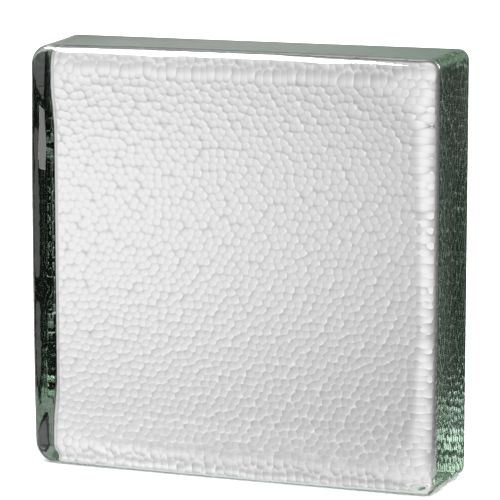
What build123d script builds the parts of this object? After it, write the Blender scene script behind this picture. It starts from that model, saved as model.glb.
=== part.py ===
from build123d import *
import os

# A solid block of cast glass: one square slab. Its front is smooth and softly
# rounded, its back is sharper, where the glass lay in the mould.
# X is the width, Z is up. The smooth front faces -Y and the back faces +Y.
# The origin is the middle of the bottom side, which lies on the floor.

# Overall size in millimetres.
width = 200.0
height = 200.0
thickness = 50.0

# Rounding that runs around the front face and around the back face.
front_rounding = 8.0
back_rounding = 2.0

# Rounding of the four corners of the square, all the way from front to back.
corner_rounding = 7.5

with BuildPart() as glass_block:
    # The square slab with its flat sides, drawn on the plane of the front face.
    front_plane = Plane(origin=(0, -thickness / 2, height / 2), x_dir=(1, 0, 0), z_dir=(0, -1, 0))
    with BuildSketch(front_plane):
        Rectangle(width, height)
    extrude(amount=-thickness)

    # The four corners of the square, from front to back.
    corner_edges = glass_block.edges().filter_by(Axis.Y)
    fillet(corner_edges, radius=corner_rounding)

    # The front face rolls over into the sides and the corners on a wide rounding.
    front_face = glass_block.faces().sort_by(Axis.Y)[0]
    fillet(front_face.outer_wire().edges(), radius=front_rounding)

    # The back face meets the sides on the tightest rounding.
    back_face = glass_block.faces().sort_by(Axis.Y)[-1]
    fillet(back_face.outer_wire().edges(), radius=back_rounding)

os.makedirs("parts", exist_ok=True)
glass_block.part.label = "glass_block"
export_step(glass_block.part, "parts/glass_block.step")
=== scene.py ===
"""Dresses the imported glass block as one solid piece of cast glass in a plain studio.

The block is a square slab. Its front face is smooth, swells back gently towards the sides and rolls
over into them. Its back face carries the hammered relief of the mould, which shows through the glass.
Everything is in metres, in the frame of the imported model: X is the width, Z is up, the smooth front
looks to -Y and the origin is the middle of the bottom side, on the floor.
"""
from __future__ import annotations

import logging
import math
from dataclasses import dataclass, field
from enum import Enum

import bpy
import numpy as np
from mathutils import Matrix, Vector

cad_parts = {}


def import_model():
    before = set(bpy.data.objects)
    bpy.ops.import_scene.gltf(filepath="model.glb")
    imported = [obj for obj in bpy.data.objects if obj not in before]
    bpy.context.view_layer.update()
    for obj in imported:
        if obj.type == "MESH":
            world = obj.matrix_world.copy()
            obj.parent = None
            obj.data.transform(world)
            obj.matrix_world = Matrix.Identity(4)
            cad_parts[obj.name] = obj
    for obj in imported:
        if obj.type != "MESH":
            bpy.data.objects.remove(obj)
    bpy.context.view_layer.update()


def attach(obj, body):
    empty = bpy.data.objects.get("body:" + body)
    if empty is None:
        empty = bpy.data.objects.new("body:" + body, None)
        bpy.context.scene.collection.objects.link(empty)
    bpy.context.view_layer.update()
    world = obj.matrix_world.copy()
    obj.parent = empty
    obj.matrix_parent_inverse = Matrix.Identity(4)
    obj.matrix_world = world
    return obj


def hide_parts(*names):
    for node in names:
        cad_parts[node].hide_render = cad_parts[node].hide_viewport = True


LOG = logging.getLogger("glass_block")
HALF_TURN = 180.0
QUARTER_TURN = 90.0
DEGREES = HALF_TURN / math.pi
TINY = 1e-9
NUDGE = 1e-5
MOST_CROSSINGS = 32
MOST_REFLECTIONS = 16

Number = "Wire | float"
Colour = tuple[float, float, float]
Point = tuple[float, float, float]
Stop = tuple[float, float]


class Operation(Enum):
    """The arithmetic that a wire knows, by the name of its Math node."""

    ADD = "ADD"
    SUBTRACT = "SUBTRACT"
    MULTIPLY = "MULTIPLY"
    DIVIDE = "DIVIDE"
    TURN = "ARCTAN2"
    RISE = "ARCSINE"


class Seen(Enum):
    """Where a thing of the studio can be seen."""

    BY_CAMERA = "camera"
    IN_SHINE = "shine"
    THROUGH_GLASS = "glass"

    def apply(self, thing: bpy.types.Object) -> None:
        """Sets the ray visibility of an object."""
        thing.visible_camera = self is Seen.BY_CAMERA
        thing.visible_glossy = self is Seen.IN_SHINE
        thing.visible_transmission = self is Seen.THROUGH_GLASS
        thing.visible_shadow = False
        thing.visible_diffuse = False


@dataclass(frozen=True)
class Wire:
    """A number that runs between the nodes of a material, with Python's own arithmetic."""

    graph: NodeGraph
    socket: bpy.types.NodeSocket

    def joined(self, operation: Operation, first: Number, second: Number = 0.0) -> Wire:
        """Adds one Math node for an operation on two values."""
        made = self.graph.node("ShaderNodeMath", {"operation": operation.value}, {0: first, 1: second})
        return Wire(self.graph, made.outputs[0])

    def __add__(self, other: Number) -> Wire:
        """The sum of two values."""
        return self.joined(Operation.ADD, self, other)

    __radd__ = __add__

    def __sub__(self, other: Number) -> Wire:
        """This value less another."""
        return self.joined(Operation.SUBTRACT, self, other)

    def __rsub__(self, other: Number) -> Wire:
        """A number less this value."""
        return self.joined(Operation.SUBTRACT, other, self)

    def __mul__(self, other: Number) -> Wire:
        """The product of two values."""
        return self.joined(Operation.MULTIPLY, self, other)

    __rmul__ = __mul__

    def __truediv__(self, other: Number) -> Wire:
        """This value over another."""
        return self.joined(Operation.DIVIDE, self, other)

    def __rtruediv__(self, other: Number) -> Wire:
        """A number over this value."""
        return self.joined(Operation.DIVIDE, other, self)


@dataclass(frozen=True)
class NodeGraph:
    """The node tree of one material or world, and the one way that nodes are added to it."""

    tree: bpy.types.NodeTree

    def node(self, kind: str, settings: dict[str, object] | None = None,
             inputs: dict[str | int, object] | None = None) -> bpy.types.Node:
        """Adds a node, sets it up and fills its sockets.

        Args:
            kind: Blender's name for the type of node.
            settings: the node's own settings, which are set first. A ramp's stops are pairs of a place
                and a grey level.
            inputs: the value, socket or wire of each socket, by name or place.

        Returns:
            The new node.
        """
        made = self.tree.nodes.new(kind)
        for name, value in (settings or {}).items():
            if name == "stops":
                self.set_stops(made.color_ramp, value)
            else:
                setattr(made, name, value)
        for name, value in (inputs or {}).items():
            source = value.socket if isinstance(value, Wire) else value
            if isinstance(source, bpy.types.NodeSocket):
                self.tree.links.new(source, made.inputs[name])
            else:
                made.inputs[name].default_value = source
        return made

    @staticmethod
    def set_stops(ramp: bpy.types.ColorRamp, stops: tuple[Stop, ...]) -> None:
        """Gives a ramp its grey levels.

        Args:
            ramp: the ramp of a Color Ramp node.
            stops: pairs of a place from 0 to 1 and a grey level.
        """
        ramp.interpolation = "LINEAR"
        while len(ramp.elements) < len(stops):
            ramp.elements.new(1.0)
        for element, (place, level) in zip(ramp.elements, stops):
            element.position = place
            element.color = (level, level, level, 1.0)

    def wire(self, node: bpy.types.Node, output: str | int = 0) -> Wire:
        """An output of a node, ready for arithmetic."""
        return Wire(self, node.outputs[output])


def fresh_material(name: str) -> tuple[bpy.types.Material, NodeGraph]:
    """Makes an empty material that uses nodes.

    Args:
        name: the material's name.

    Returns:
        The material and its graph.
    """
    material = bpy.data.materials.new(name)
    material.use_nodes = True
    material.node_tree.nodes.clear()
    return material, NodeGraph(material.node_tree)


@dataclass(frozen=True)
class CastGlass:
    """Clear cast glass with a green tint that long paths show, and a fine skin from the mould."""

    name: str = "clear_cast_glass"
    skin_name: str = "mould_skin"
    index: float = 1.52
    tint: tuple[float, float, float, float] = (0.15, 0.62, 0.25, 1.0)
    tint_density: float = 2.6
    grain_per_metre: Point = (420.0, 130.0, 420.0)
    grain_depth: float = 0.00006
    grain_detail: float = 3.0
    grain_roughness: float = 0.55
    skin_roughness: float = 0.02

    def material(self) -> bpy.types.Material:
        """Builds the glass: a clear body that takes a little red and blue away, under its surface.

        The skin is 1 on the sides, which lay against the mould, and 0 on the smooth faces. There a fine
        grain bends the surface, and the surface is a little less polished.

        Returns:
            The finished material.
        """
        material, graph = fresh_material(self.name)
        place = graph.node("ShaderNodeTexCoord").outputs["Object"]
        skin = graph.wire(graph.node("ShaderNodeAttribute", {"attribute_name": self.skin_name}), "Fac")
        scaled = graph.node("ShaderNodeVectorMath", {"operation": "MULTIPLY"}, {
            0: place,
            1: self.grain_per_metre,
        })
        grain = graph.wire(graph.node("ShaderNodeTexNoise", None, {
            "Vector": scaled.outputs[0],
            "Scale": 1.0,
            "Detail": self.grain_detail,
            "Roughness": self.grain_roughness,
        }))
        bump = graph.node("ShaderNodeBump", None, {
            "Strength": 1.0,
            "Distance": self.grain_depth,
            "Height": grain * skin,
        })
        surface = graph.node("ShaderNodeBsdfPrincipled", None, {
            "Base Color": (1.0, 1.0, 1.0, 1.0),
            "Roughness": skin * (grain * self.skin_roughness),
            "IOR": self.index,
            "Transmission Weight": 1.0,
            "Normal": bump.outputs[0],
        })
        body = graph.node("ShaderNodeVolumeAbsorption", None, {
            "Color": self.tint,
            "Density": self.tint_density,
        })
        graph.node("ShaderNodeOutputMaterial", None, {
            "Surface": surface.outputs[0],
            "Volume": body.outputs[0],
        })
        return material


@dataclass(frozen=True)
class HammeredRelief:
    """The pebbled relief of the back face: low domes packed side by side, with sharp valleys between.

    Each dome stands on a seed point. The seeds are packed like a honeycomb, and each is then moved,
    raised or lowered a little by chance. At the distance d from its seed a dome of height h has fallen
    to h - d d / (2R) (1 + e d d / (p p)), where R is its radius, p the pitch of the seeds and e how much
    steeper its rim is than a plain bowl's. The relief is the highest of all domes.
    """

    pitch: float = 0.0040
    looseness: float = 0.26
    unevenness: float = 0.000012
    dome_radius: float = 0.0540
    rim_fall: float = 2.2
    seed: int = 11
    reach: float = 0.115
    valley_steps: int = 2

    @property
    def row_pitch(self) -> float:
        """The distance between two rows of the honeycomb."""
        return self.pitch * math.sqrt(3.0) / 2.0

    def seeds(self) -> np.ndarray:
        """Places the seed points over a square that reaches past the block.

        Returns:
            An array of rows and columns with the place across, the place up and the height of each seed.
        """
        count = int(math.ceil(self.reach / self.row_pitch))
        numbers = np.arange(-count, count + 1)
        rows, columns = np.meshgrid(numbers, numbers, indexing="ij")
        chance = np.random.default_rng(self.seed)
        moved = chance.uniform(-self.looseness, self.looseness, rows.shape + (2,)) * self.pitch
        raised = chance.uniform(-self.unevenness, self.unevenness, rows.shape)
        across = (columns + 0.5 * (rows % 2)) * self.pitch + moved[..., 0]
        up = rows * self.row_pitch + moved[..., 1]
        return np.stack([across, up, raised], axis=-1)

    def near(self, across: np.ndarray, up: np.ndarray) -> np.ndarray:
        """Finds the 25 seeds around each place.

        Args:
            across: positions along the width, in metres.
            up: positions along the height, from the middle of the block, in metres.

        Returns:
            The seeds, as an array of the places, the 25 seeds and their three values.
        """
        seeds = self.seeds()
        middle = seeds.shape[0] // 2
        row = np.rint(up / self.row_pitch).astype(int)
        column = np.rint(across / self.pitch - 0.5 * (row % 2)).astype(int)
        around = np.arange(-2, 3)
        step_row, step_column = (step.ravel() for step in np.meshgrid(around, around))
        return seeds[row[..., None] + step_row + middle, column[..., None] + step_column + middle]

    def domes(self, across: np.ndarray, up: np.ndarray, seeds: np.ndarray) -> np.ndarray:
        """The height of each seed's dome at each place, in metres."""
        squared = (across[..., None] - seeds[..., 0]) ** 2 + (up[..., None] - seeds[..., 1]) ** 2
        fallen = squared / (2.0 * self.dome_radius) * (1.0 + self.rim_fall * squared / self.pitch ** 2)
        return seeds[..., 2] - self.unevenness - fallen

    def slope(self, across: np.ndarray, up: np.ndarray, seed: np.ndarray) -> np.ndarray:
        """How steeply a dome falls along the width and along the height.

        Args:
            across: positions along the width, in metres.
            up: positions along the height, from the middle of the block, in metres.
            seed: the seed of one dome for each place.

        Returns:
            The fall of the dome for each metre across and each metre up.
        """
        away = np.stack([across - seed[..., 0], up - seed[..., 1]], axis=-1)
        squared = (away ** 2).sum(axis=-1, keepdims=True)
        return away / self.dome_radius * (1.0 + 2.0 * self.rim_fall * squared / self.pitch ** 2)

    def highest(self, across: np.ndarray, up: np.ndarray) -> np.ndarray:
        """The two seeds whose domes stand highest at each place.

        Args:
            across: positions along the width, in metres.
            up: positions along the height, from the middle of the block, in metres.

        Returns:
            The seeds, as an array of the places, the highest and the second, and their three values.
        """
        seeds = self.near(across, up)
        order = np.argsort(-self.domes(across, up, seeds), axis=-1)[..., :2, None]
        return np.take_along_axis(seeds, order, axis=-2)

    def height(self, across: np.ndarray, up: np.ndarray) -> np.ndarray:
        """How far the relief stands out of the back face, with the highest tops at zero."""
        return self.domes(across, up, self.near(across, up)).max(axis=-1)

    def drawn_to_valleys(self, flat: np.ndarray, limit: float) -> np.ndarray:
        """Moves places that lie close to a valley into it, so that the mesh has an edge there.

        Where the two highest domes differ by f and their slopes by g, the valley is about f / |g| away
        in the direction of g.

        Args:
            flat: places across and up, in metres.
            limit: how far a place may move, in metres.

        Returns:
            The places, moved or not.
        """
        moved = flat
        for _ in range(self.valley_steps):
            across, up = moved[..., 0], moved[..., 1]
            pair = self.highest(across, up)
            above = self.domes(across, up, pair)
            lead = above[..., 0] - above[..., 1]
            steepness = self.slope(across, up, pair[..., 0, :]) - self.slope(across, up, pair[..., 1, :])
            moved = moved + steepness * (lead / (steepness ** 2).sum(axis=-1))[..., None]
        near = np.linalg.norm(moved - flat, axis=-1, keepdims=True) < limit
        return np.where(near, moved, flat)


@dataclass(frozen=True)
class FrontProfile:
    """The section of the front edge: a wide swell that falls away from the face, then a tight roll."""

    swell_radius: float = 0.0240
    swell_angle: float = 28.0
    roll_radius: float = 0.0035
    swell_steps: int = 8
    roll_steps: int = 8

    def rows(self, share: np.ndarray) -> tuple[np.ndarray, np.ndarray]:
        """The rows of the profile, from the flat side to the flat front.

        The slope s runs from 90 degrees on the side to 0 on the face, and is k at the knee between roll
        and swell. The roll of radius r has the inset r - r sin s, and reaches r cos k - r cos s deeper
        than the knee. The swell of radius R starts at the knee's inset, goes R sin k - R sin s further in
        and lies R - R cos s behind the face. R is the swell's own radius times its share at each place.

        Args:
            share: the share of the swell's full radius at each place around the block.

        Returns:
            The inset from the side and the depth behind the front face, by row and place.
        """
        knee = math.radians(self.swell_angle)
        roll = np.linspace(math.pi / 2, knee, self.roll_steps + 1)[:, None]
        swell = np.linspace(knee, 0.0, self.swell_steps + 1)[1:, None]
        radius = self.swell_radius * share[None, :]
        roll_inset = self.roll_radius * (1.0 - np.sin(roll)) + 0.0 * radius
        roll_depth = radius * (1.0 - math.cos(knee)) + self.roll_radius * (math.cos(knee) - np.cos(roll))
        swell_inset = roll_inset[-1:] + radius * (math.sin(knee) - np.sin(swell))
        swell_depth = radius * (1.0 - np.cos(swell))
        return np.concatenate([roll_inset, swell_inset]), np.concatenate([roll_depth, swell_depth])


@dataclass
class GlassBlock:
    """The block itself, as one closed surface of rings that run from the back face to the front."""

    width: float = 0.200
    height: float = 0.200
    thickness: float = 0.050
    back_rounding: float = 0.0020
    corner: float = 0.0050
    corner_growth: float = 1.4
    corner_spread: float = 0.0040
    drawn_in: float = 0.0009
    narrowing: float = 0.45
    draw_power: float = 2.5
    wave: float = 0.00016
    wave_parts: tuple[Point, ...] = (
        (9.0, 0.3, 0.35), (14.0, 1.9, 0.30), (23.0, 4.2, 0.20), (31.0, 2.6, 0.15),
    )
    cells: int = 264
    back_steps: int = 4
    side_rings: int = 4
    corner_fade: int = 8
    valley_share: float = 0.47
    margin: float = 0.0006
    front: FrontProfile = field(default_factory=FrontProfile)
    relief: HammeredRelief = field(default_factory=HammeredRelief)
    glass: CastGlass = field(default_factory=CastGlass)

    def outline(self, a: np.ndarray, b: np.ndarray, inset: np.ndarray, radius: np.ndarray) -> np.ndarray:
        """Carries points of a square onto nested rounded rectangles.

        A point (a, b) of the square lies on the ring m = max(|a|, |b|). That ring becomes a rectangle m
        times the block's own, less the inset, with rounded corners. Along a side the point keeps its
        place, and within one radius of a corner it runs along an eighth of a circle.

        Args:
            a: place along the width, from -1 to 1.
            b: place along the height, from -1 to 1.
            inset: distance of the full ring inside the block's outline, in metres.
            radius: corner radius of each point's ring, in metres.

        Returns:
            The place of each point across and up, from the middle of the block, in metres.
        """
        ring = np.maximum(np.abs(a), np.abs(b))
        half_width = (self.width / 2 - inset) * ring
        half_height = (self.height / 2 - inset) * ring
        upright = np.abs(a) >= np.abs(b)
        along_side = np.abs(b) * (self.height / 2 - inset)
        along_top = np.abs(a) * (self.width / 2 - inset)
        along = np.where(upright, along_side, along_top)
        limit = np.where(upright, half_height, half_width) - radius
        turn = np.clip((along - limit) / np.maximum(radius, TINY), 0.0, 1.0) * (math.pi / 4)
        reach = np.where(along > limit, limit + radius * np.sin(turn), along)
        depth = np.where(upright, half_width, half_height) - radius * (1.0 - np.cos(turn))
        across = np.where(upright, depth, reach) * np.sign(a)
        up = np.where(upright, reach, depth) * np.sign(b)
        return np.stack([across, up], axis=-1)

    def ring(self) -> tuple[np.ndarray, np.ndarray]:
        """The places of the points around the square, from the bottom left corner to the right and up.

        Returns:
            The two coordinates of the points, from -1 to 1.
        """
        step = np.arange(self.cells) / self.cells * 2.0 - 1.0
        one = np.ones(self.cells)
        return np.concatenate([step, one, -step, -one]), np.concatenate([-one, step, one, -step])

    def back_face(self) -> np.ndarray:
        """The hammered back face: a square grid carried onto rounded rectangles, raised by the relief.

        Inside the rim the points next to a valley of the relief are drawn into it.

        Returns:
            The points as an array of columns, rows and coordinates.
        """
        step = np.linspace(-1.0, 1.0, self.cells + 1)
        a, b = np.meshgrid(step, step, indexing="ij")
        ring = np.maximum(np.abs(a), np.abs(b))
        corner = (self.corner - self.back_rounding) * ring ** self.corner_fade
        flat = self.outline(a, b, np.full_like(a, self.back_rounding), corner)
        limit = self.valley_share * self.width / self.cells
        flat[1:-1, 1:-1] = self.relief.drawn_to_valleys(flat[1:-1, 1:-1], limit)
        raised = self.relief.height(flat[..., 0], flat[..., 1])
        out = np.full_like(a, self.thickness / 2) + raised
        return np.stack([flat[..., 0], out, flat[..., 1] + self.height / 2], axis=-1)

    def back_triangles(self, back: np.ndarray, grid: np.ndarray) -> np.ndarray:
        """Cuts the grid of the back face into triangles, along its valleys where it can.

        Of the two diagonals of a cell the one is taken whose middle lies closer to the relief.

        Args:
            back: the points of the back face.
            grid: the number of each point.

        Returns:
            The numbers of the three points of each triangle.
        """
        low, left, far, right = back[:-1, :-1], back[:-1, 1:], back[1:, 1:], back[1:, :-1]
        middle = (low + left + far + right) / 4.0
        relief = self.relief.height(middle[..., 0], middle[..., 2] - self.height / 2) + self.thickness / 2
        one_way = np.abs((low[..., 1] + far[..., 1]) / 2.0 - relief)
        other_way = np.abs((left[..., 1] + right[..., 1]) / 2.0 - relief)
        low, left, far, right = grid[:-1, :-1], grid[:-1, 1:], grid[1:, 1:], grid[1:, :-1]
        along = np.stack([low, left, far, low, far, right], axis=-1)
        across = np.stack([low, left, right, left, far, right], axis=-1)
        return np.where((other_way < one_way)[..., None], across, along).reshape(-1, 3)

    def back_normals(self, corners: np.ndarray) -> np.ndarray:
        """The directions that the corners of the back face's triangles look to.

        Each triangle lies on one dome, the one that is highest over its middle, and its three corners
        take the slope of that dome. So a valley stays a sharp line.

        Args:
            corners: the triangles' corners, as an array of triangles, corners and coordinates.

        Returns:
            The unit normals, as an array of the same shape.
        """
        across, up = corners[..., 0], corners[..., 2] - self.height / 2
        seed = self.relief.highest(across.mean(axis=1), up.mean(axis=1))[:, :1]
        fall = self.relief.slope(across, up, seed)
        normals = np.stack([fall[..., 0], np.ones_like(across), fall[..., 1]], axis=-1)
        return normals / np.linalg.norm(normals, axis=-1, keepdims=True)

    def back_rows(self) -> np.ndarray:
        """The rounding between the back face and the sides, where the relief fades out.

        A row at the angle t has the inset r - r sin t and lies r - r cos t in front of the back face.
        The relief is read where the row would lie if the rounding were rolled out flat, and moves the
        point along the rounding's normal.

        Returns:
            The points as an array of rows, places around the block and coordinates.
        """
        turn = np.linspace(0.0, math.pi / 2, self.back_steps + 1)[1:, None]
        a, b = (place[None, :] + 0.0 * turn for place in self.ring())
        inset = self.back_rounding * (1.0 - np.sin(turn)) + 0.0 * a
        flat = self.outline(a, b, inset, self.corner - inset)
        rolled = self.outline(a, b, self.back_rounding * (1.0 - turn) + 0.0 * a, self.corner - inset)
        raised = self.relief.height(rolled[..., 0], rolled[..., 1]) * np.cos(turn) ** 2
        outward = flat - self.outline(a, b, inset + NUDGE, self.corner - inset - NUDGE)
        outward = outward / np.linalg.norm(outward, axis=-1, keepdims=True)
        flat = flat + outward * (raised * np.sin(turn))[..., None]
        out = self.thickness / 2 - self.back_rounding * (1.0 - np.cos(turn)) + raised * np.cos(turn)
        return np.stack([flat[..., 0], out, flat[..., 1] + self.height / 2], axis=-1)

    def waves(self, a: np.ndarray, b: np.ndarray) -> np.ndarray:
        """Slow waves around the front edge, as soft glass leaves them: a sum of four sines.

        Each part is the number of waves around the block, the angle at the start and the share.

        Args:
            a: place along the width, from -1 to 1.
            b: place along the height, from -1 to 1.

        Returns:
            The waves, between -1 and 1.
        """
        along = np.arctan2(b, a)
        return sum(share * np.sin(count * along + start) for count, start, share in self.wave_parts)

    def front_rows(self) -> np.ndarray:
        """The smooth rows: the flat side, the front profile and a last row on the front face.

        Soft glass draws back from the corners, so a row's place across shrinks by the share s |v|^p,
        where v is its place up from -1 to 1, and its place up likewise. The share fades to nothing
        towards the back. The waves move the roll and the swell along the block's depth. The swell is
        narrower in the middle of the right side, by the share n (1 - v v). The corners grow rounder with
        the inset, and those on the left also towards the front.

        Returns:
            The points as an array of rows, places around the block and coordinates.
        """
        a, b = (place[None, :] for place in self.ring())
        swell_share = 1.0 - self.narrowing * np.maximum(a, 0.0) * (1.0 - b ** 2)
        inset, depth = self.front.rows(swell_share[0])
        back_row = np.full_like(inset[:1], self.thickness - self.back_rounding - self.margin)
        zero = np.zeros_like(inset[:1])
        inset = np.concatenate([zero, zero, inset, inset[-1:] + self.margin])
        depth = np.concatenate([back_row, depth[:1] + self.margin, depth, zero])
        a, b = a + 0.0 * inset, b + 0.0 * inset
        spread = self.corner_spread * (1.0 - depth / self.thickness) * (1.0 - a) / 2
        flat = self.outline(a, b, inset, self.corner + spread + self.corner_growth * inset)
        share = 2.0 * self.drawn_in * (1.0 - depth / self.thickness)
        across = flat[..., 0] * (1.0 - share / self.width * np.abs(b) ** self.draw_power)
        up = flat[..., 1] * (1.0 - share / self.height * np.abs(a) ** self.draw_power)
        fade = np.sin(math.pi * np.clip(inset / inset[-2], 0.0, 1.0)) ** 2
        out = depth - self.thickness / 2 + self.wave * (1.0 + self.waves(a, b)) * fade
        return np.stack([across, out, up + self.height / 2], axis=-1)

    def mesh(self) -> bpy.types.Mesh:
        """Joins the grid, the rows and the front face into one closed mesh.

        Returns:
            The mesh, with smooth faces that point outwards.
        """
        cells = self.cells
        back = self.back_face()
        rows = np.concatenate([self.back_rows(), self.front_rows()])
        grid = np.arange((cells + 1) ** 2).reshape(cells + 1, cells + 1)
        rim = np.concatenate([grid[:-1, 0], grid[-1, :-1], grid[:0:-1, -1], grid[0, :0:-1]])
        rings = np.vstack([rim, grid.size + np.arange(rows.shape[0] * 4 * cells).reshape(-1, 4 * cells)])
        points = np.concatenate([back.reshape(-1, 3), rows.reshape(-1, 3)])

        after = np.roll(rings, -1, axis=1)
        triangles = self.back_triangles(back, grid)
        quads = np.stack([rings[:-1], after[:-1], after[1:], rings[1:]], axis=-1).reshape(-1, 4)
        mesh = bpy.data.meshes.new("glass_block_cast")
        mesh.from_pydata(points.tolist(), [], triangles.tolist() + quads.tolist() + [rings[-1].tolist()])
        mesh.polygons.foreach_set("use_smooth", np.ones(len(mesh.polygons), dtype=bool))

        skin = np.zeros(len(points), dtype=np.float32)
        flat_side = rings[self.back_steps:self.back_steps + self.side_rings]
        skin[flat_side.ravel()] = 1.0
        mesh.attributes.new(self.glass.skin_name, "FLOAT", "POINT").data.foreach_set("value", skin)
        mesh.validate()
        mesh.update()

        normals = np.empty(len(mesh.loops) * 3, dtype=np.float32)
        mesh.corner_normals.foreach_get("vector", normals)
        normals = normals.reshape(-1, 3)
        normals[:triangles.size] = self.back_normals(points[triangles]).reshape(-1, 3)
        mesh.normals_split_custom_set(normals.tolist())
        return mesh

    def build(self) -> bpy.types.Object:
        """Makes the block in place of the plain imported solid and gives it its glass.

        Returns:
            The new object.
        """
        mesh = self.mesh()
        block = bpy.data.objects.new("cast_block", mesh)
        bpy.context.scene.collection.objects.link(block)
        mesh.materials.append(self.glass.material())
        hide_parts("glass_block")
        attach(block, "root")
        LOG.info("cast_block: %d faces", len(mesh.polygons))
        return block


@dataclass(frozen=True)
class Card:
    """A flat lit panel of the studio, which only the glass shows."""

    name: str
    centre: Point
    looks_to: Point
    size: tuple[float, float]
    strength: float
    seen: Seen

    def build(self) -> bpy.types.Object:
        """Makes the panel, facing the point it looks to.

        Returns:
            The panel's object.
        """
        facing = (Vector(self.looks_to) - Vector(self.centre)).to_track_quat("Z", "Y").to_matrix()
        half_width, half_height = self.size[0] / 2, self.size[1] / 2
        corners = [(-half_width, -half_height, 0), (half_width, -half_height, 0),
                   (half_width, half_height, 0), (-half_width, half_height, 0)]
        points = [tuple(facing @ Vector(corner) + Vector(self.centre)) for corner in corners]
        mesh = bpy.data.meshes.new(self.name)
        mesh.from_pydata(points, [], [(0, 1, 2, 3)])
        material, graph = fresh_material(self.name)
        glow = graph.node("ShaderNodeEmission", None, {"Strength": self.strength})
        graph.node("ShaderNodeOutputMaterial", None, {"Surface": glow.outputs[0]})
        mesh.materials.append(material)
        panel = bpy.data.objects.new(self.name, mesh)
        bpy.context.scene.collection.objects.link(panel)
        self.seen.apply(panel)
        return panel


@dataclass(frozen=True)
class SoftWall:
    """Soft light from one part of the room, by its turn to the left of straight back and its rise."""

    by_turn: tuple[Stop, ...]
    by_rise: tuple[Stop, ...]

    @staticmethod
    def ramp(angle: Wire, stops: tuple[Stop, ...], limit: float) -> Wire:
        """Reads a level off a ramp that runs from minus to plus a limit.

        Args:
            angle: the angle to read the ramp at, in degrees.
            stops: pairs of an angle in degrees and a grey level.
            limit: the largest angle, in degrees.

        Returns:
            The level.
        """
        places = tuple(((degrees + limit) / (2.0 * limit), level) for degrees, level in stops)
        place = (angle + limit) / (2.0 * limit)
        return angle.graph.wire(angle.graph.node("ShaderNodeValToRGB", {"stops": places}, {0: place}))

    def level(self, turn: Wire, rise: Wire) -> Wire:
        """The light from a direction: the product of a ramp over its turn and a ramp over its rise.

        Args:
            turn: the direction's turn to the left of straight back, in degrees.
            rise: the direction's rise above the horizon, in degrees.

        Returns:
            The level.
        """
        return self.ramp(turn, self.by_turn, HALF_TURN) * self.ramp(rise, self.by_rise, QUARTER_TURN)


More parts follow.
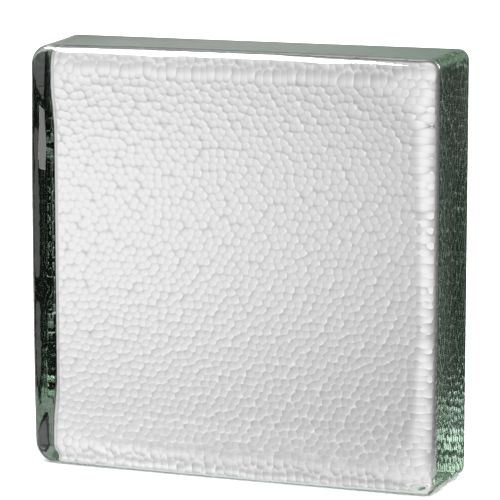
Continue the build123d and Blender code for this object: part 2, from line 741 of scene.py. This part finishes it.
@dataclass
class Studio:
    """A pale floor under soft light, and the soft walls and lit panels that only the glass shows."""

    floor_side: float = 12.0
    floor_colour: Colour = (0.9, 0.9, 0.9)
    floor_roughness: float = 0.9
    lamp_strength: float = 7.0
    lamp_angle: float = 100.0
    backdrop_level: float = 1.05
    wall_colour: Colour = (1.0, 0.938, 0.986)
    bright_wall: SoftWall = SoftWall(
        by_turn=(
            (-180.0, 0.004), (-24.0, 0.004), (-14.0, 0.008), (-10.0, 0.03), (-7.0, 0.12), (-4.5, 0.38),
            (-2.0, 0.60), (1.0, 0.74), (5.0, 0.80), (8.5, 0.79), (11.0, 0.72), (13.5, 0.65), (16.5, 0.71),
            (18.0, 0.79), (20.6, 0.92), (22.5, 1.02), (24.5, 1.07), (26.5, 1.05), (29.0, 0.93),
            (31.0, 0.75), (34.0, 0.54), (37.0, 0.40), (40.0, 0.34), (47.0, 0.28), (56.0, 0.12),
            (80.0, 0.01), (180.0, 0.01),
        ),
        by_rise=(
            (-90.0, 0.60), (-42.0, 0.60), (-36.0, 0.12), (-28.0, 0.40), (-22.0, 0.85), (-18.5, 0.92),
            (-17.0, 0.86), (-15.5, 0.74), (-14.5, 0.74), (-13.5, 0.78), (-12.5, 0.83), (-11.5, 0.90),
            (-10.5, 0.97), (-9.5, 1.00), (-8.0, 1.00), (-7.0, 0.94), (-6.0, 0.85), (-5.0, 0.74),
            (-4.0, 0.70), (-3.0, 0.75), (-1.5, 0.92), (0.0, 1.00), (3.0, 0.75), (6.0, 0.40), (9.0, 0.28),
            (14.0, 0.10), (30.0, 0.06), (90.0, 0.08),
        ),
    )
    grey_walls: SoftWall = SoftWall(
        by_turn=(
            (-180.0, 0.30), (-162.0, 0.40), (-152.0, 0.32), (-142.0, 0.05), (-120.0, 0.03), (-114.0, 0.0),
            (52.0, 0.0), (62.0, 0.12), (86.0, 0.12), (96.0, 0.01), (172.0, 0.01), (180.0, 0.30),
        ),
        by_rise=((-90.0, 0.0), (-30.0, 0.5), (-16.0, 1.0), (0.0, 1.0), (14.0, 0.0), (90.0, 0.0)),
    )
    pale_ground: SoftWall = SoftWall(
        by_turn=(
            (-180.0, 1.0), (-26.0, 1.0), (-14.0, 0.0), (48.0, 0.0), (62.0, 1.0), (86.0, 1.0), (98.0, 0.0),
            (170.0, 0.0), (180.0, 1.0),
        ),
        by_rise=((-90.0, 0.62), (-17.0, 0.62), (-14.0, 0.0), (90.0, 0.0)),
    )
    front_ground: SoftWall = SoftWall(
        by_turn=((-180.0, 0.0), (86.0, 0.0), (98.0, 1.0), (170.0, 1.0), (180.0, 0.0)),
        by_rise=((-90.0, 0.62), (-30.0, 0.62), (-24.0, 0.0), (90.0, 0.0)),
    )
    ceiling: SoftWall = SoftWall(
        by_turn=(
            (-180.0, 1.0), (-26.0, 1.0), (-14.0, 0.0), (48.0, 0.0), (62.0, 0.6), (165.0, 0.6),
            (180.0, 1.0),
        ),
        by_rise=((-90.0, 0.0), (6.0, 0.0), (10.0, 0.16), (14.0, 0.32), (40.0, 0.36), (90.0, 0.36)),
    )
    # The lit table patch: its light is painted as a glow, with painted caustic spots
    table_level: float = 0.64
    table_reach: Point = (0.15, 0.08, 1.0)
    table_drop: float = 0.0005
    table_fade: tuple[Stop, ...] = ((0.0, 1.0), (0.35, 1.0), (1.0, 0.0))
    caustic_flecks_per_metre: Point = (330.0, 120.0, 120.0)
    caustic_fleck_levels: tuple[float, float] = (0.55, 1.45)

    def floor(self) -> bpy.types.Object:
        """Makes the plain pale floor.

        Returns:
            The floor's object.
        """
        half = self.floor_side / 2
        mesh = bpy.data.meshes.new("pale_floor")
        mesh.from_pydata([(-half, -half, 0), (half, -half, 0), (half, half, 0), (-half, half, 0)],
                         [], [(0, 1, 2, 3)])
        material, graph = fresh_material("pale_floor")
        paint = graph.node("ShaderNodeBsdfPrincipled", None, {
            "Base Color": (*self.floor_colour, 1.0),
            "Roughness": self.floor_roughness,
            "Specular IOR Level": 0.0,
        })
        graph.node("ShaderNodeOutputMaterial", None, {"Surface": paint.outputs[0]})
        mesh.materials.append(material)
        made = bpy.data.objects.new("pale_floor", mesh)
        bpy.context.scene.collection.objects.link(made)
        Seen.BY_CAMERA.apply(made)
        return made

    def table(self) -> bpy.types.Object:
        """Makes the lit patch of table around the foot of the block, painted as a glow which only the
        glass sees.

        The patch is an ellipse whose painted glow fades out towards its rim. Light that the block would
        bend on it is painted into the glow as soft caustic spots of noise.

        Returns:
            The patch's object.
        """
        wide, deep, low = self.table_reach[0], self.table_reach[1], -self.table_drop
        mesh = bpy.data.meshes.new("lit_table")
        mesh.from_pydata([(-wide, -deep, low), (wide, -deep, low), (wide, deep, low), (-wide, deep, low)],
                         [], [(0, 1, 2, 3)])
        material, graph = fresh_material("lit_table")
        place = graph.node("ShaderNodeTexCoord").outputs["Object"]
        scaled = graph.node("ShaderNodeVectorMath", {"operation": "DIVIDE"}, {
            0: place,
            1: self.table_reach,
        })
        away = graph.node("ShaderNodeVectorMath", {"operation": "LENGTH"}, {0: scaled.outputs[0]})
        share = graph.node("ShaderNodeValToRGB", {"stops": self.table_fade}, {0: away.outputs["Value"]})
        clear = graph.node("ShaderNodeBsdfTransparent")
        drawn_out = graph.node("ShaderNodeVectorMath", {"operation": "MULTIPLY"}, {
            0: place,
            1: self.caustic_flecks_per_metre,
        })
        # Painted caustics: noise that makes the glow brighter and dimmer in soft spots
        caustic_flecks = graph.node("ShaderNodeTexNoise", None, {
            "Vector": drawn_out.outputs[0],
            "Scale": 1.0,
            "Detail": 1.0,
        })
        dull, bright = (
            tuple(level * part for part in self.wall_colour) + (1.0,) for level in self.caustic_fleck_levels
        )
        colour = graph.node("ShaderNodeMix", {"data_type": "RGBA"}, {
            0: caustic_flecks.outputs[0],
            6: dull,
            7: bright,
        })
        # The table's light is painted: an emission, not a surface lit by the lamps
        glow = graph.node("ShaderNodeEmission", None, {
            "Color": colour.outputs[2],
            "Strength": self.table_level,
        })
        both = graph.node("ShaderNodeMixShader", None, {
            0: share.outputs[0],
            1: clear.outputs[0],
            2: glow.outputs[0],
        })
        graph.node("ShaderNodeOutputMaterial", None, {"Surface": both.outputs[0]})
        mesh.materials.append(material)
        made = bpy.data.objects.new("lit_table", mesh)
        bpy.context.scene.collection.objects.link(made)
        Seen.THROUGH_GLASS.apply(made)
        return made

    def sky(self) -> None:
        """Surrounds the block with soft walls and a pale room.

        The bright wall stands behind the block on the left. To the right, and to the left at the front,
        the walls are dark, and only the ground below them and the ceiling light the block. The camera
        itself sees plain white.
        """
        world = bpy.data.worlds.new("soft_light")
        world.use_nodes = True
        world.node_tree.nodes.clear()
        graph = NodeGraph(world.node_tree)
        towards = graph.node("ShaderNodeTexCoord").outputs["Generated"]
        parts = graph.node("ShaderNodeSeparateXYZ", None, {0: towards})
        right, back, up = (graph.wire(parts, index) for index in range(3))
        turn = right.joined(Operation.TURN, -1.0 * right, back) * DEGREES
        rise = up.joined(Operation.RISE, up) * DEGREES
        walls = (self.bright_wall, self.grey_walls, self.pale_ground, self.front_ground, self.ceiling)
        lit = graph.node("ShaderNodeBackground", None, {
            "Color": (*self.wall_colour, 1.0),
            "Strength": sum(wall.level(turn, rise) for wall in walls),
        })
        white = graph.node("ShaderNodeBackground", None, {
            "Color": (1.0, 1.0, 1.0, 1.0),
            "Strength": self.backdrop_level,
        })
        seen = graph.node("ShaderNodeLightPath").outputs["Is Camera Ray"]
        both = graph.node("ShaderNodeMixShader", None, {0: seen, 1: lit.outputs[0], 2: white.outputs[0]})
        graph.node("ShaderNodeOutputWorld", None, {"Surface": both.outputs[0]})
        bpy.context.scene.world = world

    def lamp(self) -> bpy.types.Object:
        """Lights the floor softly from above.

        Returns:
            The lamp's object.
        """
        data = bpy.data.lights.new("soft_lamp", "SUN")
        data.angle = math.radians(self.lamp_angle)
        data.energy = self.lamp_strength
        made = bpy.data.objects.new("soft_lamp", data)
        made.visible_glossy = False
        made.visible_transmission = False
        bpy.context.scene.collection.objects.link(made)
        return made

    def cards(self) -> list[Card]:
        """The lit panels around the block.

        Returns:
            The panels, not yet built.
        """
        shine, through = Seen.IN_SHINE, Seen.THROUGH_GLASS
        return [
            Card("overhead_softbox", (-0.55, -0.53, 0.9), (-0.55, -0.53, 0.0), (0.63, 0.78), 22.0, shine),
            Card("right_softbox", (0.702, 0.668, 0.604), (0.1, 0.0, 0.2), (0.30, 0.30), 25.0, shine),
            Card("near_panel", (0.2815, 0.264, 0.05), (0.0, -0.674, 0.05), (0.20, 0.40), 0.10, shine),
            Card("near_table", (0.0, -0.085, -0.001), (0.0, -0.085, 1.0), (0.30, 0.11), 0.7, shine),
            Card("front_glow", (-1.3, -3.0, 2.4), (-1.3, 0.0, 2.4), (3.4, 3.2), 1.8, through),
            Card("left_glow", (-3.0, -1.4, 2.4), (0.0, -1.4, 2.4), (3.2, 3.2), 1.8, through),
            Card("back_glow", (-1.03, 2.82, 1.03), (0.0, 0.0, 0.1), (1.2, 1.55), 0.75, through),
            Card("band_glow", (0.70, 2.92, -0.456), (0.0, 0.0, 0.1), (0.63, 0.52), 0.09, through),
            Card("top_glow", (-0.7, -0.34, 2.03), (0.0, 0.0, 0.1), (0.6, 0.6), 0.6, through),
            Card("left_streak", (-0.898, -0.619, 0.027), (-0.094, -0.024, 0.027), (0.26, 0.054), 4.0,
                 shine),
        ]

    def build(self) -> None:
        """Builds the floor, the table, the light and the panels."""
        self.floor()
        self.table()
        self.sky()
        self.lamp()
        for card in self.cards():
            card.build()
            LOG.info("panel %s", card.name)


@dataclass(frozen=True)
class PhotographCamera:
    """The camera of the photograph, to the right of the block and a little above it."""

    azimuth: float = 20.401
    elevation: float = 9.787
    lens: float = 218.548
    sensor: float = 36.0
    aim: Point = (0.0, -0.025, 0.100)
    aside: float = -0.010479
    below: float = 0.008658
    distance: float = 1.391250
    nearest: float = 0.05
    farthest: float = 50.0

    def build(self) -> bpy.types.Object:
        """Places the camera so that the aimed point lies a little aside of the middle of the frame.

        Returns:
            The camera's object.
        """
        turn, rise = math.radians(self.azimuth), math.radians(self.elevation)
        level = math.cos(rise)
        forward = Vector((-math.sin(turn) * level, math.cos(turn) * level, -math.sin(rise)))
        right = Vector((math.cos(turn), math.sin(turn), 0.0))
        down = forward.cross(right)
        place = Vector(self.aim) - right * self.aside - down * self.below - forward * self.distance
        data = bpy.data.cameras.new("photograph_camera")
        data.sensor_width = self.sensor
        data.lens = self.lens
        data.clip_start = self.nearest
        data.clip_end = self.farthest
        camera = bpy.data.objects.new("photograph_camera", data)
        turned = Matrix((right, -down, -forward)).transposed()
        camera.matrix_world = Matrix.Translation(place) @ turned.to_4x4()
        bpy.context.scene.collection.objects.link(camera)
        bpy.context.scene.camera = camera
        return camera


def set_light_paths() -> None:
    """Lets light cross the block many times, and shows colours as they are."""
    scene = bpy.context.scene
    scene.cycles.max_bounces = MOST_CROSSINGS
    scene.cycles.transmission_bounces = MOST_CROSSINGS
    scene.cycles.glossy_bounces = MOST_REFLECTIONS
    scene.view_settings.view_transform = "Standard"
    scene.view_settings.look = "None"


def main() -> None:
    """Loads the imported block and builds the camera, the glass and the studio in order."""
    logging.basicConfig(level=logging.INFO, format="%(name)s: %(message)s")
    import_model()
    PhotographCamera().build()
    GlassBlock().build()
    Studio().build()
    set_light_paths()


if __name__ == "__main__":
    main()
